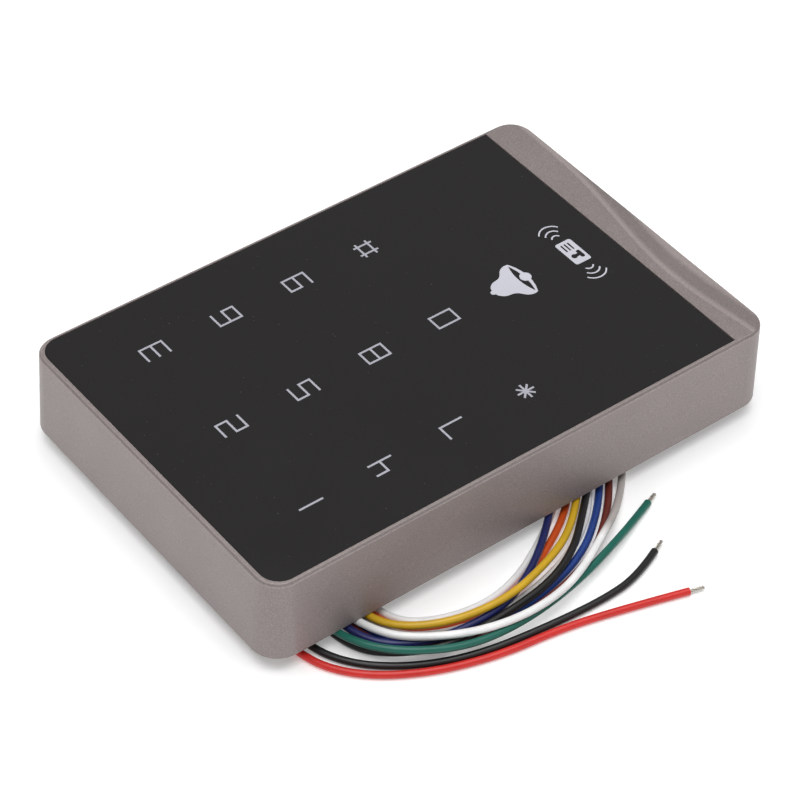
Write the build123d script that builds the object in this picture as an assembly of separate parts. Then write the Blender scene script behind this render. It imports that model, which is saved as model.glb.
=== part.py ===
from build123d import *
import math
import os

# Wall reader for cards with a touch keypad, lying on its back on its own loose lead wires.
# Millimetres. +Z is out of the front face, +Y towards the 1-2-3 end of the keypad, +X to the
# right of someone reading the keys. The origin is on the surface the reader lies on, under the
# middle of the housing. The lowest point of the reader itself is the foot of its cable boot.

# ---- driving dimensions -------------------------------------------------------------------
LENGTH = 118.0            # Y, outside of the housing at the front face
WIDTH = 77.3              # X, outside of the housing at the front face
DEPTH = 18.5              # Z, height of the housing wall
CORNER_R = 5.0            # upright corners at the front face
DRAFT = 0.65              # how far each wall leans out from front to back
EDGE_CHAMFER = 0.55       # round the front face
EDGE_ROUND = 0.12         # softens both sides of that chamfer
BACK_Z = 3.6              # the back edge stands this far off the surface, on the cable boot
FRONT_Z = BACK_Z + DEPTH

PANEL_HALF_X = 37.75      # half the width of the pocket for the touch panel
PANEL_TOP_Y = 57.9        # pocket edge at the 1-2-3 end
BAND_Y = -50.45           # pocket edge at the metal band
PANEL_CORNER_R = 4.2      # the two round corners at the 1-2-3 end
PANEL_T = 1.4
PANEL_DROP = 0.05         # panel surface below the front face
TAPE_T = 0.2
PANEL_GAP = 0.05          # between the panel and the edge of its pocket
BAND_GAP = 0.2            # wider gap along the metal band
PANEL_Z = FRONT_Z - PANEL_DROP - PANEL_T     # underside of the panel
POCKET_Z = PANEL_Z - TAPE_T                  # floor of the pocket
PLATE_Z = FRONT_Z - 3.0                      # underside of the front plate

WINDOW_HALF_X = 33.0      # window through the pocket floor
WINDOW_Y = (-45.5, 53.0)

KEY_X = (-25.2, -0.75, 23.95)                # columns of key legends
KEY_Y = (40.45, 24.05, 7.4, -9.25)           # rows of key legends
KEYS = ("123", "456", "789", "*0#")
DIGIT_W, DIGIT_H = 3.75, 5.35
STROKE = 0.44
LEGEND_DEPTH = 0.4        # how deep the legends are set into the panel
LEGEND_TOP = FRONT_Z - PANEL_DROP + 0.01

CAVITY_HALF_X, CAVITY_HALF_Y = 35.2, 55.7    # room inside, above the rear cover
COVER_HALF_X, COVER_HALF_Y = 36.6, 57.1      # rear cover
COVER_GAP = 0.1
COVER_Z = BACK_Z + 0.4    # outer face of the rear cover
COVER_T = 2.0
GASKET_T = 0.8
LEDGE_Z = COVER_Z + COVER_T + GASKET_T       # ledge that the rear gasket seals against
BOSS_X, BOSS_Y, BOSS_R = 31.8, 52.2, 3.2     # cover screw bosses

MAIN_Z, MAIN_T = 9.4, 1.6                    # main board
KEYPAD_T = 1.2                               # touch keypad board
KEYPAD_Z = PLATE_Z - 0.1 - KEYPAD_T
POST_X, POST_Y, POST_R = 32.6, 30.0, 2.6     # posts the main board is screwed to
SPACER_X, SPACER_Y = 30.0, 43.0              # snap spacers between the boards
COIL_Y = -24.0                               # middle of the reading coil

LOCK_Z = 11.5             # height of the locking screw hole in the end wall
LOCK_R = 1.25             # tapping radius for M3
LOCK_FACE_Y = -58.0       # flat face that the locking screw bears on
LOCK_END_Y = -52.0

TAMPER_X, TAMPER_Y = 22.0, 30.0
TAMPER_TRAVEL = 1.4
TAMPER_OUT = 1.3          # how far the plunger stands out of the rear cover at rest

BOOT_HALF_X, BOOT_HALF_Y = 11.0, 13.0        # cable boot under the rear cover
BOOT_NECK_X, BOOT_NECK_Y = 7.9, 9.9          # its neck through the cover
WIRE_D = 1.5
LOW, MID, HIGH = 0.77, 2.32, 3.87            # heights of the wires: on the surface, on one wire,
                                             # and on two
CONDUCTOR_D = 0.8
STRIP_L = 3.0             # bare end of each wire

os.makedirs("parts", exist_ok=True)


def save(name, shape):
    """Write one node and print its size."""
    shape.label = name
    export_step(shape, "parts/" + name + ".step")
    print(name, "solids", len(shape.solids()), "volume", round(shape.volume, 2))


def block(x0, x1, y0, y1, z0, z1):
    """A plain box between two corners."""
    middle = ((x0 + x1) / 2, (y0 + y1) / 2, (z0 + z1) / 2)
    return Pos(*middle) * Box(x1 - x0, y1 - y0, z1 - z0)


def round_block(half_x, half_y, radius, z0, z1, y=0.0):
    """A plate with round corners, centred on x = 0."""
    outline = Pos(0, y, z0) * RectangleRounded(2 * half_x, 2 * half_y, radius)
    return extrude(outline, z1 - z0)


def post(x, y, radius, z0, z1):
    """An upright cylinder."""
    return Pos(x, y, (z0 + z1) / 2) * Cylinder(radius, z1 - z0)


def corners(x, y):
    """The four points (+-x, +-y)."""
    return [(sx * x, sy * y) for sx in (-1, 1) for sy in (-1, 1)]


# ---- housing ------------------------------------------------------------------------------
def panel_outline(gap, band_gap, z):
    """Outline of the touch panel or its pocket: square at the band, round at the far end."""
    half_x, top, bottom = PANEL_HALF_X - gap, PANEL_TOP_Y - gap, BAND_Y + band_gap
    outline = Pos(0, (top + bottom) / 2, z) * Rectangle(2 * half_x, top - bottom)
    upper = outline.vertices().sort_by(Axis.Y)[-2:]
    return fillet(upper, PANEL_CORNER_R - gap)


def band_facet():
    """The part cut away past the soft crease, where the band falls towards the end wall."""
    # x along the band, y of the crease there, and the fall at the housing's end
    crease = [(-40.0, -54.6, 0.68), (-20.0, -52.5, 0.75), (-3.0, -53.7, 0.70),
              (8.0, -55.6, 0.50), (20.0, -57.0, 0.28), (40.0, -57.6, 0.10)]
    end_y, above = -60.5, FRONT_Z + 1.0
    sections = []
    for x, y, fall in crease:
        profile = [(x, y, FRONT_Z), (x, y, above), (x, end_y, above), (x, end_y, FRONT_Z - fall)]
        sections.append(make_face(Polyline(*profile, close=True)))
    return loft(sections)


def front_housing():
    """Die-cast shell: four drafted walls, front plate, panel pocket, bosses and posts."""
    back = Pos(0, 0, BACK_Z) * RectangleRounded(
        WIDTH + 2 * DRAFT, LENGTH + 2 * DRAFT, CORNER_R + DRAFT)
    shell = extrude(back, DEPTH, taper=math.degrees(math.atan(DRAFT / DEPTH)))
    shell = chamfer(shell.faces().sort_by(Axis.Z)[-1].edges(), EDGE_CHAMFER)
    shell = fillet(shell.faces().sort_by(Axis.Z)[-1].edges(), EDGE_ROUND)
    chamfer_foot = FRONT_Z - EDGE_CHAMFER
    foot = [e for e in shell.edges() if abs(e.center().Z - chamfer_foot) < 0.05 and
            abs((e @ 0).Z - (e @ 1).Z) < 0.01]
    shell = fillet(foot, EDGE_ROUND)
    shell -= round_block(CAVITY_HALF_X, CAVITY_HALF_Y, 3.0, BACK_Z, PLATE_Z)
    shell -= round_block(COVER_HALF_X + COVER_GAP, COVER_HALF_Y + COVER_GAP, 4.0, BACK_Z, LEDGE_Z)
    for x, y in corners(BOSS_X, BOSS_Y):
        shell += post(x, y, BOSS_R, COVER_Z + COVER_T, PLATE_Z)
        shell += block(min(x, x * 1.1), max(x, x * 1.1), min(y, y * 1.06), max(y, y * 1.06),
                       LEDGE_Z, PLATE_Z)
        shell -= post(x, y, 1.52, COVER_Z, LEDGE_Z + 8.0)
    for x, y in corners(POST_X, POST_Y):
        shell += post(x, y, POST_R, MAIN_Z + MAIN_T, PLATE_Z)
        shell -= post(x, y, 1.17, MAIN_Z, PLATE_Z - 2.0)
    shell += Pos(0, -54.5, LOCK_Z) * Rot(90, 0, 0) * Cylinder(4.0, 5.0)
    shell -= extrude(panel_outline(0, 0, POCKET_Z), 5.0)
    shell -= block(-WINDOW_HALF_X, WINDOW_HALF_X, *WINDOW_Y, PLATE_Z - 1.0, POCKET_Z + 1.0)
    shell -= Pos(0, -60.0, LOCK_Z) * Rot(90, 0, 0) * Cylinder(3.2, 2 * (60.0 + LOCK_FACE_Y))
    hole_y = (LOCK_FACE_Y + LOCK_END_Y) / 2
    hole_l = LOCK_END_Y - LOCK_FACE_Y
    shell -= Pos(0, hole_y, LOCK_Z) * Rot(90, 0, 0) * Cylinder(LOCK_R, hole_l + 0.2)
    return shell - band_facet()


# ---- touch panel and its legends -----------------------------------------------------------
def bar(x0, y0, x1, y1, width=STROKE):
    """A straight stroke of a legend, with square ends that reach half a width past its ends."""
    length = math.hypot(x1 - x0, y1 - y0) + width
    angle = math.degrees(math.atan2(y1 - y0, x1 - x0))
    return Pos((x0 + x1) / 2, (y0 + y1) / 2) * Rot(0, 0, angle) * Rectangle(length, width)


def character(key):
    """One key legend as a flat outline about its own middle."""
    w, h = (DIGIT_W - STROKE) / 2, (DIGIT_H - STROKE) / 2
    segments = {
        "a": (-w, h, w, h), "b": (w, 0, w, h), "c": (w, -h, w, 0), "d": (-w, -h, w, -h),
        "e": (-w, -h, -w, 0), "f": (-w, 0, -w, h), "g": (-w, 0, w, 0)}
    digits = {"0": "abcdef", "2": "abged", "3": "abgcd", "5": "afgcd", "6": "afgedc",
              "7": "abc", "8": "abcdefg", "9": "abcdfg"}
    if key == "1":
        strokes = [(0, -h, 0, h)]
    elif key == "4":
        strokes = [(-1.4, 0, -1.4, h), (-1.4, 0, 1.4, 0), (1.4, -h, 1.4, h)]
    elif key == "*":
        strokes = []
        for turn in range(4):
            x, y = math.cos(turn * math.pi / 4), math.sin(turn * math.pi / 4)
            reach = 1.7 if turn % 2 == 0 else 1.65
            strokes.append((-x * reach, -y * reach, x * reach, y * reach))
    elif key == "#":
        strokes = [(side * 1.2, -1.9, side * 1.2, 1.9) for side in (-1, 1)]
        strokes += [(-1.9, side * 1.2, 1.9, side * 1.2) for side in (-1, 1)]
    else:
        strokes = [segments[name] for name in digits[key]]
    outline = bar(*strokes[0])
    for stroke in strokes[1:]:
        outline += bar(*stroke)
    return outline


def inlay(flat):
    """A legend's outline as a solid set into the panel."""
    return extrude(Pos(0, 0, LEGEND_TOP - LEGEND_DEPTH) * flat, LEGEND_DEPTH)


def key_legends():
    """The twelve key legends."""
    pieces = []
    for row, y in zip(KEYS, KEY_Y):
        for key, x in zip(row, KEY_X):
            pieces += inlay(Pos(x, y) * character(key)).solids()
    return pieces


BELL_X, BELL_Y = -0.5, -25.7
CARD_X, CARD_Y = -0.3, -41.68


def lens(half_width, y, top, bottom):
    """The area between two arcs that meet at (+-half_width, y)."""
    ends = (-half_width, y), (half_width, y)
    upper = ThreePointArc(ends[0], (0, top), ends[1])
    lower = ThreePointArc(ends[1], (0, bottom), ends[0])
    return make_face([upper, lower])


def bell_icon():
    """A hand bell: knob, flared dome, dark mouth with a light rim, and clapper."""
    side = [(0, 4.1), (1.7, 3.5), (2.3, 2.4), (2.45, 1.4), (2.75, 0.6), (3.45, -0.1), (4.3, -0.9),
            (4.72, -1.8), (4.65, -3.1)]
    right = Spline(*side)
    left = Spline(*[(-x, y) for x, y in side])
    rim = ThreePointArc((-4.65, -3.1), (0, -4.3), (4.65, -3.1))
    flat = make_face([right, left, rim])
    flat += Pos(0, 4.2) * Circle(0.58)
    flat -= lens(4.2, -2.85, -2.1, -3.55)
    flat += Pos(0, -3.76) * Circle(1.2)
    return inlay(Pos(BELL_X, BELL_Y) * flat).solids()


def card_icon():
    """A card with a plain head and shoulders and three lines, between two sets of waves."""
    flat = RectangleRounded(6.9, 3.85, 0.5)
    flat -= Pos(-1.2, 0.65) * Circle(0.62)
    flat -= Pos(-1.2, 0) * Rectangle(0.8, 1.0)
    flat -= Pos(-1.2, -0.88) * RectangleRounded(2.26, 0.9, 0.4)
    for y in (0.93, 0.11, -0.71):
        flat -= Pos(1.6, y) * Rectangle(2.1, 0.36)
    pieces = list(inlay(Pos(CARD_X, CARD_Y) * flat).solids())
    for side in (-1, 1):
        # the middle of each wave, how far its ends curl back, and half its height
        for x, back, half in ((5.7, 0.6, 0.95), (7.2, 0.9, 1.6), (8.7, 1.35, 2.4)):
            ends = [(side * (x - back), end * half) for end in (-1, 1)]
            wave = trace(ThreePointArc(ends[0], (side * x, 0), ends[1]), 0.32)
            pieces += inlay(Pos(CARD_X, CARD_Y + 0.15) * wave).solids()
    return pieces


def touch_panel(inlays):
    """The black panel, with a pocket for each legend."""
    panel = extrude(panel_outline(PANEL_GAP, BAND_GAP, PANEL_Z), PANEL_T)
    panel = chamfer(panel.faces().sort_by(Axis.Z)[-1].edges(), 0.15)
    for piece in inlays:
        panel -= piece
    return panel


def panel_tape():
    """Ring of adhesive tape between the panel and the pocket floor."""
    ring = extrude(panel_outline(0.5, 0.5, POCKET_Z), TAPE_T)
    low, high = WINDOW_Y
    return ring - block(-WINDOW_HALF_X - 0.4, WINDOW_HALF_X + 0.4, low - 0.4, high + 0.4,
                        POCKET_Z - 1, PANEL_Z + 1)


# ---- keypad board, light guide and LEDs ----------------------------------------------------
LED_POINTS = [(x, y + 5.5) for y in KEY_Y for x in KEY_X] + [(-9.0, -33.0), (8.0, -33.0)]


def light_guide():
    """Clear plate that spreads the backlight, pocketed over each LED."""
    low, high = WINDOW_Y
    plate = block(-WINDOW_HALF_X + 0.5, WINDOW_HALF_X - 0.5, low + 0.5, high - 0.5,
                  PLATE_Z + 0.1, PANEL_Z - 0.05)
    for x, y in LED_POINTS:
        plate -= block(x - 1.3, x + 1.3, y - 1.0, y + 1.0, PLATE_Z, PLATE_Z + 0.8)
    for x, y in corners(SPACER_X, SPACER_Y):
        plate -= post(x, y, 1.8, PLATE_Z, PLATE_Z + 0.8)
    return plate


def keypad_board():
    """Touch electrode board, cut back round the bosses and posts."""
    z0, z1 = KEYPAD_Z, KEYPAD_Z + KEYPAD_T
    board = block(-34.0, 34.0, -48.0, 48.0, z0, z1) + block(-27.5, 27.5, -48.0, 54.0, z0, z1)
    for x, y in corners(POST_X, POST_Y):
        board -= post(x, y, POST_R + 0.3, z0 - 1, z1 + 1)
    for x, y in corners(SPACER_X, SPACER_Y):
        board -= post(x, y, 1.25, z0 - 1, z1 + 1)
    return board


def backlight_leds():
    """One small LED above each legend."""
    z0 = KEYPAD_Z + KEYPAD_T
    return [block(x - 0.8, x + 0.8, y - 0.4, y + 0.4, z0, z0 + 0.6) for x, y in LED_POINTS]


def gull_wing_chip(half, height, pins):
    """Square chip with a row of flat leads along each side, standing on z = 0."""
    chip = block(-half, half, -half, half, 0.1, height)
    reach, first, lead = half + 1.0, half - 0.6, 0.15
    for n in range(pins):
        offset = first * (2 * n / (pins - 1) - 1)
        chip += block(-reach, reach, offset - lead, offset + lead, 0, 0.25)
        chip += block(offset - lead, offset + lead, -reach, reach, 0, 0.25)
    return chip


def board_spacers():
    """Snap spacers that hold the keypad board over the main board."""
    pieces = []
    for x, y in corners(SPACER_X, SPACER_Y):
        body = post(x, y, 2.4, MAIN_Z + MAIN_T, KEYPAD_Z)
        body += post(x, y, 1.2, MAIN_Z - 0.6, KEYPAD_Z + KEYPAD_T + 0.1)
        body += post(x, y, 1.6, KEYPAD_Z + KEYPAD_T, KEYPAD_Z + KEYPAD_T + 0.7)
        body += post(x, y, 1.6, MAIN_Z - 1.2, MAIN_Z)
        pieces.append(body)
    return pieces


# ---- main board ----------------------------------------------------------------------------
LEAD_PITCH = 1.8
# one soldered lead for each wire, in two rows
LEADS = [((n - 2.5) * LEAD_PITCH, row) for row in (-3.0, 3.0) for n in range(6)]


def main_board():
    """Main circuit board with its fixing, spacer, tamper and lead holes."""
    z0, z1 = MAIN_Z, MAIN_Z + MAIN_T
    board = block(-34.7, 34.7, -48.4, 48.4, z0, z1)
    for x, y in corners(POST_X, POST_Y):
        board -= post(x, y, 1.3, z0 - 1, z1 + 1)
    for x, y in corners(SPACER_X, SPACER_Y):
        board -= post(x, y, 1.25, z0 - 1, z1 + 1)
    board -= post(TAMPER_X, TAMPER_Y, 1.5, z0 - 1, z1 + 1)
    for x, y in LEADS:
        board -= post(x, y, 0.5, z0 - 1, z1 + 1)
    return board


def board_screws():
    """Pan-head screws that hold the main board to its posts."""
    pieces = []
    for x, y in corners(POST_X, POST_Y):
        head = post(x, y, 2.2, MAIN_Z - 1.5, MAIN_Z)
        head = fillet(head.edges().sort_by(Axis.Z)[0], 0.6)
        screw = head + post(x, y, 1.15, MAIN_Z - 0.2, MAIN_Z + 6.0)
        screw -= block(x - 1.2, x + 1.2, y - 0.2, y + 0.2, MAIN_Z - 2, MAIN_Z - 0.8)
        screw -= block(x - 0.2, x + 0.2, y - 1.2, y + 1.2, MAIN_Z - 2, MAIN_Z - 0.8)
        pieces.append(screw)
    return pieces


TOP = MAIN_Z + MAIN_T     # component side of the main board


def relay():
    """Lock relay: moulded case on a slightly larger base."""
    case = block(-29.0, -14.0, 10.0, 17.5, TOP + 0.4, TOP + 5.6)
    case = fillet(case.edges().filter_by(Axis.Z) + case.faces().sort_by(Axis.Z)[-1].edges(), 0.5)
    return case + block(-29.3, -13.7, 9.7, 17.8, TOP, TOP + 0.5)


def buzzer():
    """Round sounder with a hole in its top."""
    body = post(-20.0, 33.0, 6.0, TOP, TOP + 5.4)
    body = chamfer(body.edges().sort_by(Axis.Z)[-1], 0.4)
    return body - post(-20.0, 33.0, 1.0, TOP + 4.2, TOP + 6)


def capacitors():
    """Surface-mount electrolytic cans on square bases."""
    pieces = []
    for x, y in ((25.0, 18.0), (25.0, 10.0), (17.0, 18.0)):
        can = post(x, y, 3.1, TOP + 0.8, TOP + 5.4)
        can = fillet(can.edges().sort_by(Axis.Z)[-1], 0.4)
        base = block(x - 3.3, x + 3.3, y - 3.3, y + 3.3, TOP, TOP + 0.8)
        pieces.append(can + base)
    return pieces


def power_inductor():
    """Shielded inductor with chamfered corners."""
    body = block(13.5, 20.5, 6.5, 13.5, TOP, TOP + 4.0)
    return chamfer(body.edges().filter_by(Axis.Z), 1.2)


def voltage_regulator():
    """Regulator with a tab and two leads."""
    body = block(6.0, 12.5, 26.0, 32.0, TOP + 0.1, TOP + 2.3)
    body += block(6.6, 11.9, 32.0, 35.5, TOP, TOP + 0.6)
    for x in (7.0, 11.5):
        body += block(x - 0.4, x + 0.4, 23.5, 26.0, TOP, TOP + 0.6)
    return body


def crystal():
    """Low metal can of the clock crystal."""
    outline = Pos(-15.0, 21.0, TOP) * SlotOverall(11.0, 4.6)
    can = extrude(outline, 3.4)
    can = fillet(can.faces().sort_by(Axis.Z)[-1].edges(), 0.5)
    return can + extrude(Pos(-15.0, 21.0, TOP) * SlotOverall(11.6, 5.2), 0.4)


def surge_diodes():
    """Protection diodes beside the lead wires."""
    return [block(x - 2.2, x + 2.2, 17.0, 20.6, TOP, TOP + 2.2) for x in (-6.0, 0.0, 6.0)]


def chip_parts():
    """Small chip resistors and capacitors on the main board."""
    pieces = []
    for row, y in enumerate((38.0, 41.0, 44.0)):
        for column in range(7):
            x = -9.0 + 3.2 * column + 0.4 * row
            pieces.append(block(x - 0.8, x + 0.8, y - 0.4, y + 0.4, TOP, TOP + 0.5))
    return pieces


def link_header():
    """Pin header that joins the two boards."""
    body = block(-32.0, -29.4, -16.0, 4.0, TOP, KEYPAD_Z)
    return chamfer(body.edges().filter_by(Axis.Z), 0.4)


def coil_former():
    """Plastic former of the reading coil: a frame with two flanges, on the main board."""
    wide, low, thick = (26.0, 20.0), (22.6, 16.6), 0.8
    z0, z1 = TOP + 2.0, KEYPAD_Z - 0.3
    former = round_block(*low, 2.6, z0, z1, COIL_Y)
    former += round_block(*wide, 4.0, z0, z0 + thick, COIL_Y)
    former += round_block(*wide, 4.0, z1 - thick, z1, COIL_Y)
    former -= round_block(low[0] - 1.0, low[1] - 1.0, 1.8, z0 - 1, z1 + 1, COIL_Y)
    for x, y in corners(24.0, 12.0):
        former += post(x, COIL_Y + y, 1.5, TOP, z0 + 0.4)
    return former


def antenna_coil():
    """Enamelled winding on the former."""
    z0, z1 = TOP + 2.9, KEYPAD_Z - 1.2
    outer = round_block(25.4, 19.4, 5.0, z0, z1, COIL_Y)
    winding = outer - round_block(22.7, 16.7, 2.7, z0 - 1, z1 + 1, COIL_Y)
    return fillet(winding.faces().sort_by(Axis.Z)[-1].edges(), 0.3)


# ---- rear cover, gasket, screws ------------------------------------------------------------
def rear_cover():
    """Flat cover with the boot opening, tamper hole, screw holes and two hook slots."""
    z1 = COVER_Z + COVER_T
    cover = round_block(COVER_HALF_X, COVER_HALF_Y, 3.9, COVER_Z, z1)
    cover = chamfer(cover.faces().sort_by(Axis.Z)[0].edges(), 0.3)
    cover -= round_block(BOOT_NECK_X + 0.1, BOOT_NECK_Y + 0.1, 3.0, COVER_Z - 1, z1 + 1)
    cover -= post(TAMPER_X, TAMPER_Y, 2.06, COVER_Z - 1, z1 + 1)
    for x, y in corners(BOSS_X, BOSS_Y):
        cover -= post(x, y, 1.7, COVER_Z - 1, z1 + 1)
        cover -= Pos(x, y, COVER_Z + 0.7) * Cone(3.1, 1.7, 1.4)
    for x in (-20.0, 20.0):
        cover -= block(x - 5.0, x + 5.0, 44.5, 47.5, COVER_Z - 1, COVER_Z + 1.3)
    return cover


def rear_gasket():
    """Rubber seal squeezed between the cover and the housing ledge."""
    z0 = COVER_Z + COVER_T
    ring = round_block(36.5, 57.0, 3.8, z0, z0 + GASKET_T)
    ring -= round_block(35.3, 55.8, 3.0, z0 - 1, z0 + GASKET_T + 1)
    for x, y in corners(BOSS_X, BOSS_Y):
        ring -= post(x, y, BOSS_R + 0.1, z0 - 1, z0 + GASKET_T + 1)
    return ring


def cover_screws():
    """Countersunk screws with cross recesses, heads flush with the cover."""
    top, tip = COVER_Z + 0.05, LEDGE_Z + 7.0
    outline = [(0, top), (2.95, top), (1.5, top + 1.45), (1.5, tip - 0.5), (1.0, tip), (0, tip)]
    profile = make_face(Polyline(*[(r, 0, z) for r, z in outline], close=True))
    pieces = []
    for x, y in corners(BOSS_X, BOSS_Y):
        screw = Pos(x, y, 0) * revolve(profile, Axis.Z)
        screw -= block(x - 1.7, x + 1.7, y - 0.25, y + 0.25, top - 1, top + 1.2)
        screw -= block(x - 0.25, x + 0.25, y - 1.7, y + 1.7, top - 1, top + 1.2)
        pieces.append(screw)
    return pieces


def cable_boot():
    """Rubber boot moulded round the wires; they leave it side by side through its +Y face."""
    inside = COVER_Z + COVER_T
    boot = round_block(BOOT_HALF_X, BOOT_HALF_Y, 3.0, 0, COVER_Z)
    boot = chamfer(boot.faces().sort_by(Axis.Z)[0].edges(), 0.3)
    boot += round_block(BOOT_NECK_X, BOOT_NECK_Y, 2.9, COVER_Z, inside)
    return boot + round_block(BOOT_NECK_X + 1.6, BOOT_NECK_Y + 1.6, 4.0, inside, inside + 1.0)


def inner_leads():
    """Tinned leads from the boot up through the main board."""
    z0 = COVER_Z + COVER_T + 1.0
    return [post(x, y, CONDUCTOR_D / 2, z0, TOP + 0.8) for x, y in LEADS]


def solder_joints():
    """Cone of solder round each lead on the component side."""
    pieces = []
    for x, y in LEADS:
        cone = Pos(x, y, TOP + 0.35) * Cone(0.85, 0.55, 0.7)
        pieces.append(cone - post(x, y, CONDUCTOR_D / 2, TOP - 1, TOP + 2))
    return pieces


# ---- tamper switch -------------------------------------------------------------------------
def tamper_plunger():
    """Sprung pin that the wall plate pushes in: tip, shoulder and a thin tail."""
    inside = COVER_Z + COVER_T + 0.02
    pin = post(TAMPER_X, TAMPER_Y, 2.0, COVER_Z - TAMPER_OUT, inside + 0.5)
    pin = fillet(pin.edges().sort_by(Axis.Z)[0], 0.7)
    pin += post(TAMPER_X, TAMPER_Y, 3.0, inside, inside + 0.8)
    return pin + post(TAMPER_X, TAMPER_Y, 1.0, inside, MAIN_Z + 0.9)


def tamper_spring():
    """Light coil spring between the plunger's shoulder and the main board."""
    start = COVER_Z + COVER_T + 0.82 + 0.25
    height = MAIN_Z - 0.25 - start
    line = Helix(pitch=height / 3, height=height, radius=1.9)
    coil = sweep(Plane(line @ 0, z_dir=line % 0) * Circle(0.17), path=line)
    return Pos(TAMPER_X, TAMPER_Y, start) * coil


def tamper_switch():
    """Small switch over the hole in the main board, open below for the plunger's tail."""
    body = block(TAMPER_X - 3, TAMPER_X + 3, TAMPER_Y - 3, TAMPER_Y + 3, TOP, TOP + 3.0)
    body = chamfer(body.faces().sort_by(Axis.Z)[-1].edges(), 0.3)
    return body - post(TAMPER_X, TAMPER_Y, 1.3, TOP - 1, TOP + 1.6)


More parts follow.
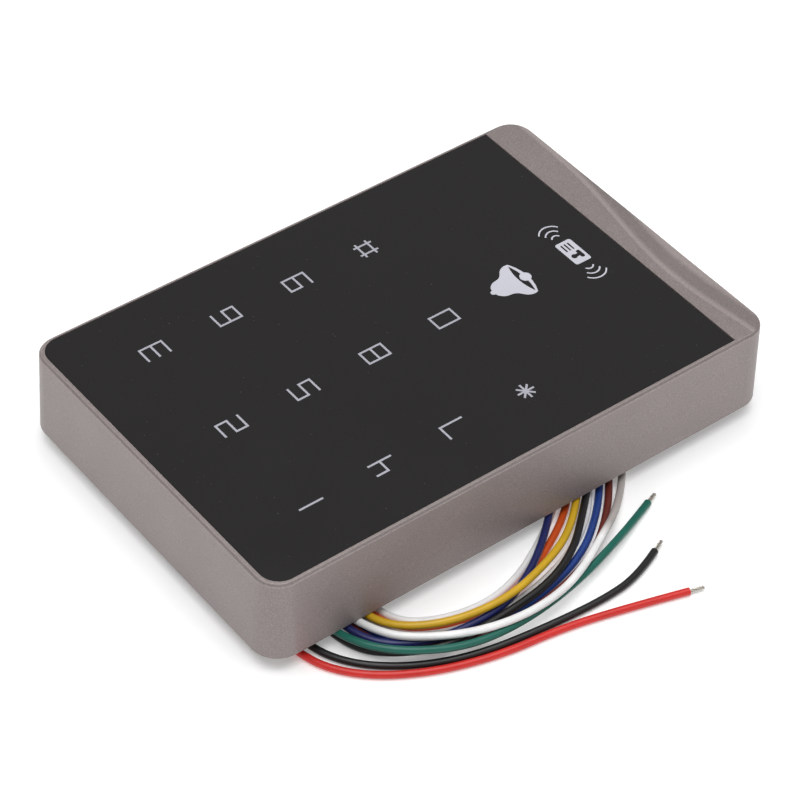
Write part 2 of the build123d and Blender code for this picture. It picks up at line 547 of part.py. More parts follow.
# ---- loose wires ---------------------------------------------------------------------------
# Each route starts at the +Y face of the boot. The wires lie side by side and on each other,
# curve out past the corner of the housing and back beside its left wall. Red, black_a and green
# end out on the surface; the others end underneath the housing.
BOOT_FACE = BOOT_HALF_Y
ROUTES = {
    "red": [
        (6.8, BOOT_FACE, LOW), (6.8, 24, LOW), (-3, 42, LOW), (-19.8, 52.5, LOW),
        (-38.4, 52.4, LOW), (-47.6, 47, LOW), (-54.6, 36.7, LOW), (-59.1, 23.4, LOW),
        (-60.8, 9.3, LOW), (-64.2, -3.8, LOW), (-67.6, -15.1, LOW)],
    "black_a": [
        (5.1, BOOT_FACE, LOW), (5.1, 23.5, LOW), (-4.5, 40.5, LOW), (-20.3, 50.2, LOW),
        (-36.7, 49.9, LOW), (-45.2, 45.9, LOW), (-52.1, 37.4, LOW), (-56.7, 26.4, LOW),
        (-58.8, 12.8, LOW), (-59.9, -0.7, LOW), (-59.2, -9.8, LOW), (-56.2, -16.6, LOW)],
    "green": [
        (5.4, BOOT_FACE, MID), (5.4, 22.4, MID), (-4, 37.5, MID), (-19.8, 45.5, MID),
        (-35.7, 45.1, MID), (-44.3, 43.1, 3.4), (-50.8, 37.6, HIGH), (-55.2, 28.3, 2.9),
        (-56.4, 18.3, MID), (-55.8, 7.8, MID), (-53.8, -2.3, MID), (-51.4, -10.3, MID),
        (-48.6, -17.4, 1.2), (-46, -23.8, LOW)],
    "yellow": [
        (-5.4, BOOT_FACE, MID), (-5.4, 20, MID), (-11.9, 31.4, MID), (-23.3, 38.2, MID),
        (-35.4, 38.1, MID), (-42.4, 36.5, 2.8), (-47.7, 31.6, HIGH), (-50.5, 23.8, HIGH),
        (-51.2, 14.3, HIGH), (-49.2, 5.3, HIGH), (-45.9, -2.8, 3), (-41.3, -9.3, MID),
        (-35.3, -15.5, MID), (-28.2, -20.1, MID)],
    "white_a": [
        (-1.8, BOOT_FACE, MID), (-1.8, 21, MID), (-9.4, 33.5, MID), (-22.3, 40.9, MID),
        (-35.2, 40.5, MID), (-43, 39, 3.3), (-48.6, 35.2, 3.92), (-54, 25.8, HIGH),
        (-56.4, 15.8, HIGH), (-56, 6.2, HIGH), (-53.3, -1.8, HIGH), (-49.4, -8.9, 3.3),
        (-45.7, -15.3, 2), (-41.1, -21.1, 0.9), (-35.9, -26.2, LOW), (-30.4, -30.5, LOW)],
    "navy": [
        (1.8, BOOT_FACE, MID), (1.8, 21.5, MID), (-6.5, 35.3, MID), (-21.3, 43, MID),
        (-35.4, 42.9, MID), (-44.3, 40.7, MID), (-49.6, 33.9, MID), (-51.5, 24.8, MID),
        (-51.3, 15.3, MID), (-48, 7.3, MID), (-43.1, -0.2, MID), (-36.8, -7.5, MID),
        (-30.3, -12.8, MID), (-23.7, -16.8, MID)],
    "orange": [
        (-5.1, BOOT_FACE, LOW), (-5.1, 19.5, LOW), (-11.7, 30.2, LOW), (-23.1, 36.5, LOW),
        (-35.4, 36.4, LOW), (-43.3, 34.1, LOW), (-47.9, 26.9, LOW), (-49.7, 17.3, LOW),
        (-48.2, 8.3, LOW), (-44.2, -0.2, LOW), (-39.6, -8.3, LOW), (-32.8, -15.8, LOW),
        (-25.7, -21.3, LOW)],
    "white_b": [
        (-6.8, BOOT_FACE, LOW), (-6.8, 19, LOW), (-12.8, 28.9, LOW), (-23.6, 34.8, LOW),
        (-35.4, 34.7, LOW), (-42.4, 32.7, LOW), (-46.3, 26.1, LOW), (-48, 17.3, LOW),
        (-46.6, 9, LOW), (-42.7, 1, LOW), (-38.1, -6.5, LOW), (-31.6, -13.9, LOW),
        (-24.7, -19.3, LOW)],
    "white_c": [
        (-3.4, BOOT_FACE, LOW), (-3.4, 20, LOW), (-10.4, 31.8, LOW), (-22.8, 38.1, LOW),
        (-35.4, 38, LOW), (-44.3, 35.6, LOW), (-49.5, 27.7, LOW), (-51.4, 17, LOW),
        (-50.3, 6.3, LOW), (-47.4, -3.6, LOW), (-42.2, -11.9, LOW), (-35.3, -18.3, LOW),
        (-28.7, -23.3, LOW)],
    "blue": [
        (-1.7, BOOT_FACE, LOW), (-1.7, 20.5, LOW), (-9.2, 33.2, LOW), (-22.3, 39.7, LOW),
        (-35.4, 39.6, LOW), (-45.3, 37.1, LOW), (-51.1, 28.5, LOW), (-53, 16.8, LOW),
        (-52, 5.3, LOW), (-48.7, -5.5, LOW), (-42.5, -14.1, LOW), (-35.8, -20.6, LOW),
        (-29.3, -25.5, LOW)],
    "brown": [
        (0, BOOT_FACE, LOW), (0, 21, LOW), (-8, 34.4, LOW), (-21.8, 41.3, LOW),
        (-35.4, 41.2, LOW), (-46.4, 38.5, LOW), (-52.7, 29.2, LOW), (-54.6, 16.8, LOW),
        (-53.6, 4.6, LOW), (-50.2, -6.9, LOW), (-43.5, -15.9, LOW), (-36.5, -22.3, LOW),
        (-30, -27.3, LOW)],
    "black_b": [
        (3.4, BOOT_FACE, LOW), (3.4, 22, LOW), (-5.6, 37.4, LOW), (-20.9, 45, LOW),
        (-35.1, 44.6, LOW), (-43, 42.9, LOW), (-48.3, 39.1, 2.1), (-52.2, 32.3, MID),
        (-53.1, 24.8, MID), (-52.9, 14.8, MID), (-51.7, 4.8, MID), (-47.9, -3.8, MID),
        (-41.8, -11, MID), (-35.8, -17.7, MID), (-29.7, -23.5, MID)],
}
SHOWN_ENDS = ("red", "black_a", "green")


def wire_path(name, route):
    """Straight runs joined by arcs as large as the runs allow."""
    points = [Vector(*point) for point in route]
    radii = []
    for before, point, after in zip(points, points[1:], points[2:]):
        arriving, leaving = point - before, after - point
        half_turn = math.radians(arriving.get_angle(leaving) / 2)
        shorter = min(arriving.length, leaving.length)
        radii.append(0.45 * shorter / math.tan(half_turn))
    print("wire_" + name, "radii", " ".join(f"{radius:.0f}" for radius in radii))
    return FilletPolyline(*points, radius=radii)


def wire(name, route):
    """One insulated wire as a plain tube along its route."""
    path = wire_path(name, route)
    tube = sweep(Plane(path @ 0, z_dir=path % 0) * Circle(WIRE_D / 2), path=path)
    expected = math.pi * (WIRE_D / 2) ** 2 * path.length
    print("wire_" + name, "length", round(path.length, 1), "volume ratio",
          round(tube.volume / expected, 4))
    return tube


def conductor(route):
    """Bare strands that carry on straight from the cut end of the insulation."""
    before, end = Vector(*route[-2]), Vector(*route[-1])
    along = Plane(end, z_dir=end - before)
    return extrude(along * Circle(CONDUCTOR_D / 2), STRIP_L)


# ---- write every node ----------------------------------------------------------------------
legends, bell, card = key_legends(), bell_icon(), card_icon()
save("front_housing", front_housing())
save("touch_panel", touch_panel(legends + bell + card))
save("key_legends", Compound(legends))
save("bell_icon", Compound(bell))
save("card_icon", Compound(card))
save("panel_tape", panel_tape())
save("light_guide", light_guide())

save("keypad_board", keypad_board())
save("backlight_leds", Compound(backlight_leds()))
save("touch_controller", Pos(0, 8.0, KEYPAD_Z) * Rot(180, 0, 0) * gull_wing_chip(3.5, 1.1, 7))
save("board_spacers", Compound(board_spacers()))

save("main_board", main_board())
save("microcontroller", Pos(-3.0, 30.0, TOP) * gull_wing_chip(5.0, 1.4, 11))
save("reader_chip", Pos(0, COIL_Y, TOP) * gull_wing_chip(3.5, 1.1, 7))
save("board_screws", Compound(board_screws()))
save("relay", relay())
save("buzzer", buzzer())
save("capacitors", Compound(capacitors()))
save("power_inductor", power_inductor())
save("voltage_regulator", voltage_regulator())
save("crystal", crystal())
save("surge_diodes", Compound(surge_diodes()))
save("chip_parts", Compound(chip_parts()))
save("link_header", link_header())
save("coil_former", coil_former())
save("antenna_coil", antenna_coil())
save("inner_leads", Compound(inner_leads()))
save("solder_joints", Compound(solder_joints()))

save("rear_cover", rear_cover())
save("rear_gasket", rear_gasket())
save("cover_screws", Compound(cover_screws()))
save("cable_boot", cable_boot())
save("tamper_plunger", tamper_plunger())
save("tamper_spring", tamper_spring())
save("tamper_switch", tamper_switch())

tucked = []
for name, route in ROUTES.items():
    save("wire_" + name, wire(name, route))
    if name in SHOWN_ENDS:
        save("conductor_" + name, conductor(route))
    else:
        tucked.append(conductor(route))
save("tucked_conductors", Compound(tucked))
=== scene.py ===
import math
import random

import bmesh
import bpy
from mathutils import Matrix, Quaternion, Vector


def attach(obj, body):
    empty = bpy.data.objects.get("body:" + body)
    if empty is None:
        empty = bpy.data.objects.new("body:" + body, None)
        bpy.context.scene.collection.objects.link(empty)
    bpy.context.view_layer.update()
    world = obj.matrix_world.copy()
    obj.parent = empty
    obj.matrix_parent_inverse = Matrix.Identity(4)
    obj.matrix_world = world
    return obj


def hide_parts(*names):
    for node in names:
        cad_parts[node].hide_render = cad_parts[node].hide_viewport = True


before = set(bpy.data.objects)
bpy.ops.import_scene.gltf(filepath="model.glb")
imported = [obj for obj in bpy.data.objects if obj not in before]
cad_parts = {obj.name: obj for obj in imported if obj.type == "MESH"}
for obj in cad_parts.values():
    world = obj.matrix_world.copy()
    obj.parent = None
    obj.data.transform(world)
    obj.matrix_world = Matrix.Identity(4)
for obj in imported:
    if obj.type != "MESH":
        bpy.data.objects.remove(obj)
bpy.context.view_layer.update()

# A wall reader for cards with a touch keypad, lying on its back on its own loose lead wires.
# The frame is in metres; lengths written in millimetres are multiplied by MM.
MM = 0.001


# ---- camera -------------------------------------------------------------------------------
CAMERA_AT = Vector((-0.32763, 0.27099, 0.41776))
LOOKS_AT = Vector((-0.00453, 0.00390, 0.01090))
CAMERA_ROLL = math.radians(2.633)

camera_data = bpy.data.cameras.new("camera")
camera_data.lens = 138.13
camera_data.sensor_width = 36.0
camera_data.clip_start = 0.01
camera = bpy.data.objects.new("camera", camera_data)
bpy.context.scene.collection.objects.link(camera)
camera.location = CAMERA_AT
camera.rotation_mode = "QUATERNION"
aim = (LOOKS_AT - CAMERA_AT).to_track_quat("-Z", "Y")
camera.rotation_quaternion = aim @ Quaternion((0, 0, 1), CAMERA_ROLL)
bpy.context.scene.camera = camera


# ---- materials ----------------------------------------------------------------------------
def srgb(red, green, blue):
    """A colour given as 0-255 display values, as linear RGBA."""
    def linear(value):
        value /= 255
        return value / 12.92 if value <= 0.04045 else ((value + 0.055) / 1.055) ** 2.4
    return (linear(red), linear(green), linear(blue), 1.0)


def scaled(colour, factor):
    """The same colour, darker or lighter."""
    return tuple(min(1.0, channel * factor) for channel in colour[:3]) + (1.0,)


def new_material(name, roughness, metallic=0.0, specular=0.5, coat=0.0, coat_roughness=0.05):
    """A plain Principled material and its shader node."""
    material = bpy.data.materials.new(name)
    material.use_nodes = True
    shader = material.node_tree.nodes["Principled BSDF"]
    shader.inputs["Roughness"].default_value = roughness
    shader.inputs["Metallic"].default_value = metallic
    shader.inputs["Specular IOR Level"].default_value = specular
    shader.inputs["Coat Weight"].default_value = coat
    shader.inputs["Coat Roughness"].default_value = coat_roughness
    return material, shader


def add(material, kind, **settings):
    """A new node in the material, with its sockets or properties set by name."""
    node = material.node_tree.nodes.new(kind)
    for key, value in settings.items():
        if hasattr(node, key):
            setattr(node, key, value)
        else:
            node.inputs[key.replace("_", " ")].default_value = value
    return node


def noise(material, size, detail=3.0, rough=0.5, squash=(1, 1, 1)):
    """Noise whose blotches are about that size, in metres, in the reader's own frame."""
    links = material.node_tree.links
    place = add(material, "ShaderNodeTexCoord")
    stretch = add(material, "ShaderNodeMapping", Scale=squash)
    texture = add(material, "ShaderNodeTexNoise", Scale=1 / size, Detail=detail, Roughness=rough)
    links.new(place.outputs["Object"], stretch.inputs["Vector"])
    links.new(stretch.outputs["Vector"], texture.inputs["Vector"])
    return texture


def ramp(material, source, stops):
    """A colour ramp over source, from (position, colour) stops."""
    node = add(material, "ShaderNodeValToRGB")
    elements = node.color_ramp.elements
    while len(elements) < len(stops):
        elements.new(0.5)
    for element, (position, colour) in zip(elements, stops):
        element.position, element.color = position, colour
    material.node_tree.links.new(source, node.inputs["Fac"])
    return node.outputs["Color"]


def level(material, source, low, high, start=0.3, end=0.7):
    """source, with its start-end range spread over low-high."""
    node = add(material, "ShaderNodeMapRange")
    for socket, value in zip(("From Min", "From Max", "To Min", "To Max"),
                             (start, end, low, high)):
        node.inputs[socket].default_value = value
    material.node_tree.links.new(source, node.inputs["Value"])
    return node.outputs["Result"]


def bump(material, shader, heights):
    """Bump from (height source, depth in metres) pairs, coarsest first."""
    links, normal = material.node_tree.links, None
    for source, depth in heights:
        node = add(material, "ShaderNodeBump", Strength=1.0, Distance=depth)
        links.new(source, node.inputs["Height"])
        if normal:
            links.new(normal, node.inputs["Normal"])
        normal = node.outputs["Normal"]
    links.new(normal, shader.inputs["Normal"])


def along_axis(material, axis, start, end):
    """0 to 1 between two heights along an axis of the reader's own frame."""
    place = add(material, "ShaderNodeTexCoord")
    split = add(material, "ShaderNodeSeparateXYZ")
    material.node_tree.links.new(place.outputs["Object"], split.inputs["Vector"])
    return level(material, split.outputs[axis], 0.0, 1.0, start, end)


def multiplied(material, first, second):
    """Two colours multiplied together."""
    mix = add(material, "ShaderNodeMix", data_type="RGBA", blend_type="MULTIPLY")
    mix.inputs[0].default_value = 1.0
    material.node_tree.links.new(first, mix.inputs[6])
    material.node_tree.links.new(second, mix.inputs[7])
    return mix.outputs[2]


def plain_surface(name, colour, roughness, grain=0.4 * MM, depth=0.01 * MM, variation=0.08,
                  metallic=0.0, specular=0.5, squash=(1, 1, 1)):
    """A moulded, cast or drawn surface: mottled colour and roughness, and a fine grain."""
    material, shader = new_material(name, roughness, metallic, specular)
    links = material.node_tree.links
    mottle = noise(material, 9 * MM, squash=squash).outputs["Fac"]
    fine = noise(material, grain, squash=squash).outputs["Fac"]
    tint = ramp(material, mottle, [(0.3, scaled(colour, 1 - variation)),
                                   (0.7, scaled(colour, 1 + variation))])
    links.new(tint, shader.inputs["Base Color"])
    links.new(level(material, mottle, roughness * 0.9, roughness * 1.12),
              shader.inputs["Roughness"])
    bump(material, shader, [(fine, depth)])
    return material


FRONT_Z = 22.1 * MM       # height of the housing's front face
CHAMFER = 0.55 * MM       # width of the chamfer round it


def metallic_paint():
    """Satin taupe coat over the casting: flakes, a little orange peel, soft cloudiness, and
    painted highlights and shade along the chamfer.
    """
    material, shader = new_material("satin_metal", 0.42, metallic=0.3, specular=0.45)
    links = material.node_tree.links
    flakes = noise(material, 0.22 * MM, detail=2.0, rough=0.7).outputs["Fac"]
    cloud = noise(material, 14 * MM).outputs["Fac"]
    peel = noise(material, 0.9 * MM, detail=1.0).outputs["Fac"]
    colour = srgb(178, 166, 164)
    glints = ramp(material, flakes, [(0.30, scaled(colour, 0.74)), (0.52, colour),
                                     (0.72, scaled(colour, 1.32))])
    clouds = ramp(material, cloud, [(0.3, (0.93, 0.93, 0.93, 1)), (0.7, (1, 1, 1, 1))])
    # painted highlights on both edges of the chamfer and painted shade between them, set by
    # height alone, so any surface at those heights gets them too
    height = along_axis(material, "Z", FRONT_Z - 2 * CHAMFER, FRONT_Z)
    plain, painted_highlight, shade = (0.62, 0.62, 0.62, 1), (0.86, 0.86, 0.86, 1), (0.57, 0.57, 0.57, 1)
    painted_edge_light = ramp(material, height, [(0.36, plain), (0.46, painted_highlight), (0.54, painted_highlight), (0.64, shade),
                                    (0.84, shade), (0.92, painted_highlight), (0.97, painted_highlight), (1.0, plain)])
    tint = multiplied(material, multiplied(material, glints, clouds), painted_edge_light)
    links.new(tint, shader.inputs["Base Color"])
    links.new(level(material, flakes, 0.36, 0.50), shader.inputs["Roughness"])
    bump(material, shader, [(peel, 0.010 * MM), (flakes, 0.006 * MM)])
    return material


def panel_surface():
    """Gloss black panel with a trace of dust and faint waviness."""
    material, shader = new_material("gloss_black", 0.12, specular=0.4)
    links = material.node_tree.links
    specks = noise(material, 0.45 * MM, detail=1.0).outputs["Fac"]
    film = noise(material, 22 * MM, detail=2.0).outputs["Fac"]
    black = srgb(30, 28, 29)
    dust = ramp(material, specks, [(0.0, black), (0.77, black), (0.82, srgb(92, 90, 90))])
    links.new(dust, shader.inputs["Base Color"])
    links.new(level(material, film, 0.10, 0.17), shader.inputs["Roughness"])
    bump(material, shader, [(film, 0.02 * MM)])
    return material


def clear_plastic():
    """Clear acrylic of the light guide."""
    material, shader = new_material("clear_acrylic", 0.15)
    links = material.node_tree.links
    haze = noise(material, 6 * MM).outputs["Fac"]
    links.new(ramp(material, haze, [(0.3, srgb(214, 222, 226)), (0.7, srgb(236, 240, 242))]),
              shader.inputs["Base Color"])
    links.new(level(material, haze, 0.10, 0.22), shader.inputs["Roughness"])
    shader.inputs["Transmission Weight"].default_value = 0.85
    return material


def winding_copper():
    """Enamelled copper with fine turns that run round the coil."""
    material, shader = new_material("enamelled_copper", 0.3, metallic=0.85)
    links = material.node_tree.links
    place = add(material, "ShaderNodeTexCoord")
    turns = add(material, "ShaderNodeTexWave", wave_type="BANDS", bands_direction="Z",
                Scale=1 / (0.9 * MM), Distortion=0.6, Detail=1.0)
    links.new(place.outputs["Object"], turns.inputs["Vector"])
    links.new(ramp(material, turns.outputs["Fac"], [(0.2, srgb(110, 48, 22)),
                                                    (0.8, srgb(196, 104, 52))]),
              shader.inputs["Base Color"])
    bump(material, shader, [(turns.outputs["Fac"], 0.05 * MM)])
    return material


# The far end of one white wire gets painted shade, as if lying in the housing's shadow: greyed
# from the first of these y values towards the second and beyond.
SHADE_START_Y, SHADE_END_Y = -9.0 * MM, -13.5 * MM
PAINTED_SHADE_WIRE, PAINTED_SHADE_TINT = "white_a", srgb(196, 188, 184)


def wire_insulation(name, colour, painted_shade_colour=None):
    """Smooth PVC with slight handling marks; a given far-end colour paints shade over its far
    end.
    """
    material, shader = new_material(name, 0.34, specular=0.5)
    links = material.node_tree.links
    mottle = noise(material, 5 * MM).outputs["Fac"]
    marks = noise(material, 0.5 * MM, detail=2.0).outputs["Fac"]
    tint = ramp(material, mottle, [(0.3, scaled(colour, 0.9)), (0.7, scaled(colour, 1.06))])
    # painted shade over the wire's far end, greying it as if in the housing's shadow
    if painted_shade_colour:
        shade_fade = along_axis(material, "Y", SHADE_END_Y, SHADE_START_Y)
        tint = multiplied(material, tint, ramp(material, shade_fade, [(0.0, painted_shade_colour),
                                                                (1.0, (1, 1, 1, 1))]))
    links.new(tint, shader.inputs["Base Color"])
    links.new(level(material, marks, 0.28, 0.42), shader.inputs["Roughness"])
    bump(material, shader, [(marks, 0.008 * MM)])
    return material


metal = metallic_paint()
black_plastic = plain_surface("black_plastic", srgb(44, 44, 45), 0.55, 0.35 * MM, 0.03 * MM)
chip_black = plain_surface("chip_black", srgb(34, 34, 35), 0.6, 0.15 * MM, 0.01 * MM)
nylon = plain_surface("natural_nylon", srgb(226, 222, 208), 0.45)
tinned = plain_surface("tinned_copper", srgb(205, 200, 192), 0.26, 0.1 * MM, 0.006 * MM,
                       metallic=1.0)
screw_steel = plain_surface("screw_steel", srgb(178, 178, 180), 0.3, 0.2 * MM, 0.008 * MM,
                            metallic=1.0)
boot_rubber = plain_surface("boot_rubber", srgb(40, 39, 39), 0.7, 0.5 * MM, 0.03 * MM,
                            specular=0.3)
legend_grey = plain_surface("legend_grey", srgb(168, 168, 178), 0.4, 0.2 * MM, 0.002 * MM, 0.03)
legend_white = plain_surface("legend_white", srgb(196, 196, 206), 0.4, 0.2 * MM, 0.002 * MM,
                             0.03)
FINISHES = {
    metal: ["front_housing"],
    panel_surface(): ["touch_panel"],
    legend_grey: ["key_legends"],
    legend_white: ["bell_icon", "card_icon"],
    black_plastic: ["rear_cover", "panel_tape"],
    boot_rubber: ["cable_boot", "rear_gasket"],
    chip_black: ["touch_controller", "microcontroller", "reader_chip", "buzzer", "link_header",
                 "voltage_regulator", "surge_diodes", "tamper_switch"],
    nylon: ["board_spacers", "coil_former", "tamper_plunger"],
    screw_steel: ["board_screws", "cover_screws", "tamper_spring"],
    tinned: ["inner_leads", "solder_joints"],
    clear_plastic(): ["light_guide"],
    winding_copper(): ["antenna_coil"],
    plain_surface("led_lens", srgb(236, 230, 190), 0.2): ["backlight_leds"],
    plain_surface("black_board", srgb(22, 26, 24), 0.3): ["keypad_board"],
    plain_surface("green_board", srgb(28, 96, 52), 0.3): ["main_board"],
    plain_surface("relay_case", srgb(34, 78, 158), 0.35): ["relay"],
    plain_surface("drawn_aluminium", srgb(200, 200, 202), 0.3, metallic=1.0): ["capacitors"],
    plain_surface("nickel_can", srgb(206, 204, 198), 0.18, metallic=1.0): ["crystal"],
    plain_surface("ferrite", srgb(70, 70, 72), 0.65): ["power_inductor", "chip_parts"],
}
for finish, names in FINISHES.items():
    for name in names:
        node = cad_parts[name]
        if not node.material_slots:
            node.data.materials.append(None)
        for slot in node.material_slots:
            slot.material = finish


# ---- lead wires ---------------------------------------------------------------------------
WIRE_D = 1.5 * MM
CONDUCTOR_D = 0.8 * MM
STRIP_L = 3.0 * MM
# Routes in millimetres, from the +Y face of the boot; z is LOW on the surface, MID on one wire
# and HIGH on two.
BOOT_FACE = 13.0
LOW, MID, HIGH = 0.77, 2.32, 3.87
ROUTES = {
    "red": [
        (6.8, BOOT_FACE, LOW), (6.8, 24, LOW), (-3, 42, LOW), (-19.8, 52.5, LOW),
        (-38.4, 52.4, LOW), (-47.6, 47, LOW), (-54.6, 36.7, LOW), (-59.1, 23.4, LOW),
        (-60.8, 9.3, LOW), (-64.2, -3.8, LOW), (-67.6, -15.1, LOW)],
    "black_a": [
        (5.1, BOOT_FACE, LOW), (5.1, 23.5, LOW), (-4.5, 40.5, LOW), (-20.3, 50.2, LOW),
        (-36.7, 49.9, LOW), (-45.2, 45.9, LOW), (-52.1, 37.4, LOW), (-56.7, 26.4, LOW),
        (-58.8, 12.8, LOW), (-59.9, -0.7, LOW), (-59.2, -9.8, LOW), (-56.2, -16.6, LOW)],
    "green": [
        (5.4, BOOT_FACE, MID), (5.4, 22.4, MID), (-4, 37.5, MID), (-19.8, 45.5, MID),
        (-35.7, 45.1, MID), (-44.3, 43.1, 3.4), (-50.8, 37.6, HIGH), (-55.2, 28.3, 2.9),
        (-56.4, 18.3, MID), (-55.8, 7.8, MID), (-53.8, -2.3, MID), (-51.4, -10.3, MID),
        (-48.6, -17.4, 1.2), (-46, -23.8, LOW)],
    "yellow": [
        (-5.4, BOOT_FACE, MID), (-5.4, 20, MID), (-11.9, 31.4, MID), (-23.3, 38.2, MID),
        (-35.4, 38.1, MID), (-42.4, 36.5, 2.8), (-47.7, 31.6, HIGH), (-50.5, 23.8, HIGH),
        (-51.2, 14.3, HIGH), (-49.2, 5.3, HIGH), (-45.9, -2.8, 3), (-41.3, -9.3, MID),
        (-35.3, -15.5, MID), (-28.2, -20.1, MID)],
    "white_a": [
        (-1.8, BOOT_FACE, MID), (-1.8, 21, MID), (-9.4, 33.5, MID), (-22.3, 40.9, MID),
        (-35.2, 40.5, MID), (-43, 39, 3.3), (-48.6, 35.2, 3.92), (-54, 25.8, HIGH),
        (-56.4, 15.8, HIGH), (-56, 6.2, HIGH), (-53.3, -1.8, HIGH), (-49.4, -8.9, 3.3),
        (-45.7, -15.3, 2), (-41.1, -21.1, 0.9), (-35.9, -26.2, LOW), (-30.4, -30.5, LOW)],
    "navy": [
        (1.8, BOOT_FACE, MID), (1.8, 21.5, MID), (-6.5, 35.3, MID), (-21.3, 43, MID),
        (-35.4, 42.9, MID), (-44.3, 40.7, MID), (-49.6, 33.9, MID), (-51.5, 24.8, MID),
        (-51.3, 15.3, MID), (-48, 7.3, MID), (-43.1, -0.2, MID), (-36.8, -7.5, MID),
        (-30.3, -12.8, MID), (-23.7, -16.8, MID)],
    "orange": [
        (-5.1, BOOT_FACE, LOW), (-5.1, 19.5, LOW), (-11.7, 30.2, LOW), (-23.1, 36.5, LOW),
        (-35.4, 36.4, LOW), (-43.3, 34.1, LOW), (-47.9, 26.9, LOW), (-49.7, 17.3, LOW),
        (-48.2, 8.3, LOW), (-44.2, -0.2, LOW), (-39.6, -8.3, LOW), (-32.8, -15.8, LOW),
        (-25.7, -21.3, LOW)],
    "white_b": [
        (-6.8, BOOT_FACE, LOW), (-6.8, 19, LOW), (-12.8, 28.9, LOW), (-23.6, 34.8, LOW),
        (-35.4, 34.7, LOW), (-42.4, 32.7, LOW), (-46.3, 26.1, LOW), (-48, 17.3, LOW),
        (-46.6, 9, LOW), (-42.7, 1, LOW), (-38.1, -6.5, LOW), (-31.6, -13.9, LOW),
        (-24.7, -19.3, LOW)],
    "white_c": [
        (-3.4, BOOT_FACE, LOW), (-3.4, 20, LOW), (-10.4, 31.8, LOW), (-22.8, 38.1, LOW),
        (-35.4, 38, LOW), (-44.3, 35.6, LOW), (-49.5, 27.7, LOW), (-51.4, 17, LOW),
        (-50.3, 6.3, LOW), (-47.4, -3.6, LOW), (-42.2, -11.9, LOW), (-35.3, -18.3, LOW),
        (-28.7, -23.3, LOW)],
    "blue": [
        (-1.7, BOOT_FACE, LOW), (-1.7, 20.5, LOW), (-9.2, 33.2, LOW), (-22.3, 39.7, LOW),
        (-35.4, 39.6, LOW), (-45.3, 37.1, LOW), (-51.1, 28.5, LOW), (-53, 16.8, LOW),
        (-52, 5.3, LOW), (-48.7, -5.5, LOW), (-42.5, -14.1, LOW), (-35.8, -20.6, LOW),
        (-29.3, -25.5, LOW)],
    "brown": [
        (0, BOOT_FACE, LOW), (0, 21, LOW), (-8, 34.4, LOW), (-21.8, 41.3, LOW),
        (-35.4, 41.2, LOW), (-46.4, 38.5, LOW), (-52.7, 29.2, LOW), (-54.6, 16.8, LOW),
        (-53.6, 4.6, LOW), (-50.2, -6.9, LOW), (-43.5, -15.9, LOW), (-36.5, -22.3, LOW),
        (-30, -27.3, LOW)],
    "black_b": [
        (3.4, BOOT_FACE, LOW), (3.4, 22, LOW), (-5.6, 37.4, LOW), (-20.9, 45, LOW),
        (-35.1, 44.6, LOW), (-43, 42.9, LOW), (-48.3, 39.1, 2.1), (-52.2, 32.3, MID),
        (-53.1, 24.8, MID), (-52.9, 14.8, MID), (-51.7, 4.8, MID), (-47.9, -3.8, MID),
        (-41.8, -11, MID), (-35.8, -17.7, MID), (-29.7, -23.5, MID)],
}
WIRE_COLOURS = {
    "red": srgb(208, 38, 32), "black_a": srgb(22, 21, 22), "green": srgb(16, 98, 84),
    "yellow": srgb(208, 166, 28), "white_a": srgb(238, 238, 238), "navy": srgb(24, 32, 92),
    "orange": srgb(214, 84, 28), "white_b": srgb(240, 240, 240), "white_c": srgb(240, 240, 240),
    "blue": srgb(34, 66, 140), "brown": srgb(112, 46, 36), "black_b": srgb(22, 21, 22)}
SHOWN_ENDS = ("red", "black_a", "green")


def link(name, data, material):
    """A new piece of the reader's fixed body."""
    piece = bpy.data.objects.new(name, data)
    bpy.context.scene.collection.objects.link(piece)
    data.materials.append(material)
    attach(piece, "reader")
    return piece


def insulation(name, points):
    """One wire as a smooth curve through its route."""
    curve = bpy.data.curves.new("insulation_" + name, "CURVE")
    curve.dimensions = "3D"
    curve.bevel_depth = WIRE_D / 2
    curve.bevel_resolution = 5
    curve.use_fill_caps = True
    spline = curve.splines.new("NURBS")
    spline.points.add(len(points) - 1)
    for control, point in zip(spline.points, points):
        control.co = (*point, 1.0)
    spline.order_u = 3
    spline.use_endpoint_u = True
    spline.resolution_u = 10
    # only white_a gets painted shade at its far end
    painted_shade_colour = PAINTED_SHADE_TINT if name == PAINTED_SHADE_WIRE else None
    finish = wire_insulation("pvc_" + name, WIRE_COLOURS[name], painted_shade_colour)
    return link("insulation_" + name, curve, finish)


def strands(name, start, along):
    """Seven tinned strands, twisted together, that stand out of the cut insulation."""
    side = along.orthogonal().normalized()
    up = along.cross(side)
    strand_r = CONDUCTOR_D / 6
    lay = 7.5 * MM            # length along the wire of one full twist
    rings, ring_points = 14, 8
    chance = random.Random(name)
    mesh = bmesh.new()
    for strand in range(7):
        offset = 0 if strand == 0 else 2 * strand_r
        length = STRIP_L * (1 if strand == 0 else chance.uniform(0.90, 0.99))
        loops = []
        for ring in range(rings):
            reach = length * ring / (rings - 1)
            angle = 2 * math.pi * (strand / 6 + reach / lay)
            outward = side * math.cos(angle) + up * math.sin(angle)
            middle = start + along * reach + outward * offset
            across = along.cross(outward)
            loop = []
            for point in range(ring_points):
                turn = 2 * math.pi * point / ring_points
                loop.append(mesh.verts.new(
                    middle + (outward * math.cos(turn) + across * math.sin(turn)) * strand_r))
            loops.append(loop)
        for before, after in zip(loops, loops[1:]):
            for point in range(ring_points):
                following = (point + 1) % ring_points
                face = mesh.faces.new((before[point], before[following],
                                       after[following], after[point]))
                face.smooth = True
        mesh.faces.new(list(reversed(loops[0])))
        mesh.faces.new(loops[-1])
    bmesh.ops.recalc_face_normals(mesh, faces=mesh.faces)
    data = bpy.data.meshes.new("strands_" + name)
    mesh.to_mesh(data)
    mesh.free()
    return link("strands_" + name, data, tinned)
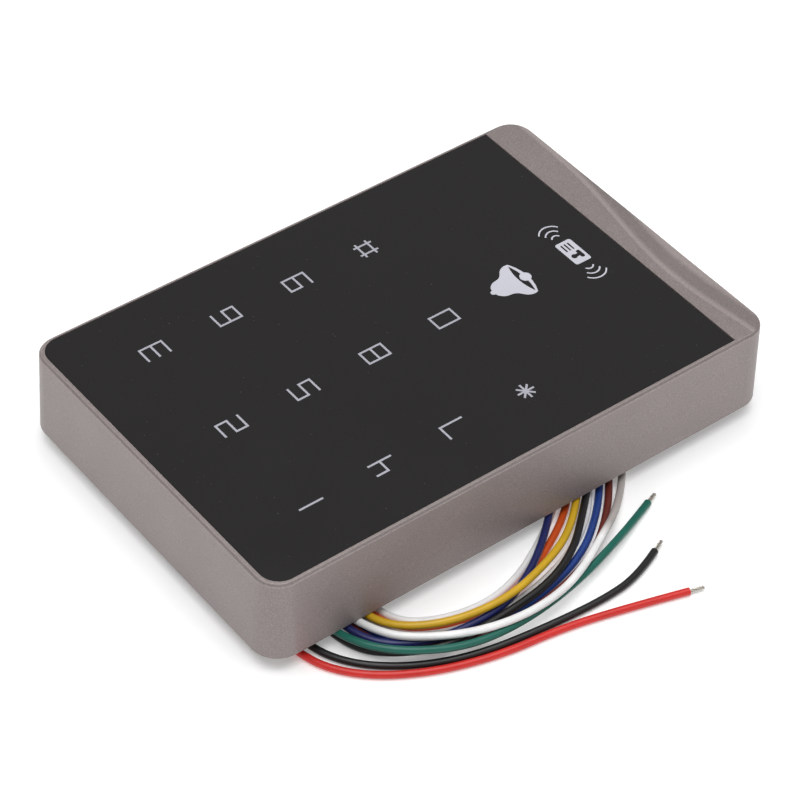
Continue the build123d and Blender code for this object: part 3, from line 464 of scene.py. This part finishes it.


# Each wire: its insulation along its route, its bare strands at the end, and its model parts
# hidden.
for name, route in ROUTES.items():
    points = [Vector(point) * MM for point in route]
    piece = insulation(name, points)
    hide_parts("wire_" + name)
    bare = strands(name, points[-1], (points[-1] - points[-2]).normalized())
    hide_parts("conductor_" + name if name in SHOWN_ENDS else "tucked_conductors")


# ---- light, floor and view ----------------------------------------------------------------
def soft_box(name, place, target, size, watts):
    """A large square lamp that looks at target."""
    lamp = bpy.data.lights.new(name, "AREA")
    lamp.size, lamp.energy = size, watts
    holder = bpy.data.objects.new(name, lamp)
    bpy.context.scene.collection.objects.link(holder)
    holder.location = place
    holder.rotation_euler = (Vector(target) - Vector(place)).to_track_quat("-Z", "Y").to_euler()


soft_box("overhead", (0.0, 0.05, 0.75), (0, 0, 0), 0.8, 5.6)
soft_box("from_camera_left", (-0.75, -0.15, 0.45), (0, 0, 0.01), 0.6, 0.4)
soft_box("from_camera_right", (0.10, 0.85, 0.45), (0, 0, 0.01), 0.6, 0.2)

WHITE = (1, 1, 1, 1)
ROOM_LIGHT = 0.36
FLOOR_GLOW = 0.22         # keeps the lit floor a clean white
world = bpy.data.worlds.new("studio")
world.use_nodes = True
background = world.node_tree.nodes["Background"]
background.inputs["Color"].default_value = WHITE
background.inputs["Strength"].default_value = ROOM_LIGHT
bpy.context.scene.world = world
bpy.context.scene.view_settings.view_transform = "Standard"

floor_data = bpy.data.meshes.new("floor")
HALF_FLOOR = 2.0
floor_data.from_pydata([(-HALF_FLOOR, -HALF_FLOOR, 0), (HALF_FLOOR, -HALF_FLOOR, 0),
                        (HALF_FLOOR, HALF_FLOOR, 0), (-HALF_FLOOR, HALF_FLOOR, 0)],
                       [], [(0, 1, 2, 3)])
floor = bpy.data.objects.new("floor", floor_data)
bpy.context.scene.collection.objects.link(floor)
paper = plain_surface("white_floor", srgb(247, 247, 247), 0.9, specular=0.1, variation=0.01)
paper_shader = paper.node_tree.nodes["Principled BSDF"]
paper_shader.inputs["Emission Color"].default_value = WHITE
paper_shader.inputs["Emission Strength"].default_value = FLOOR_GLOW
floor_data.materials.append(paper)
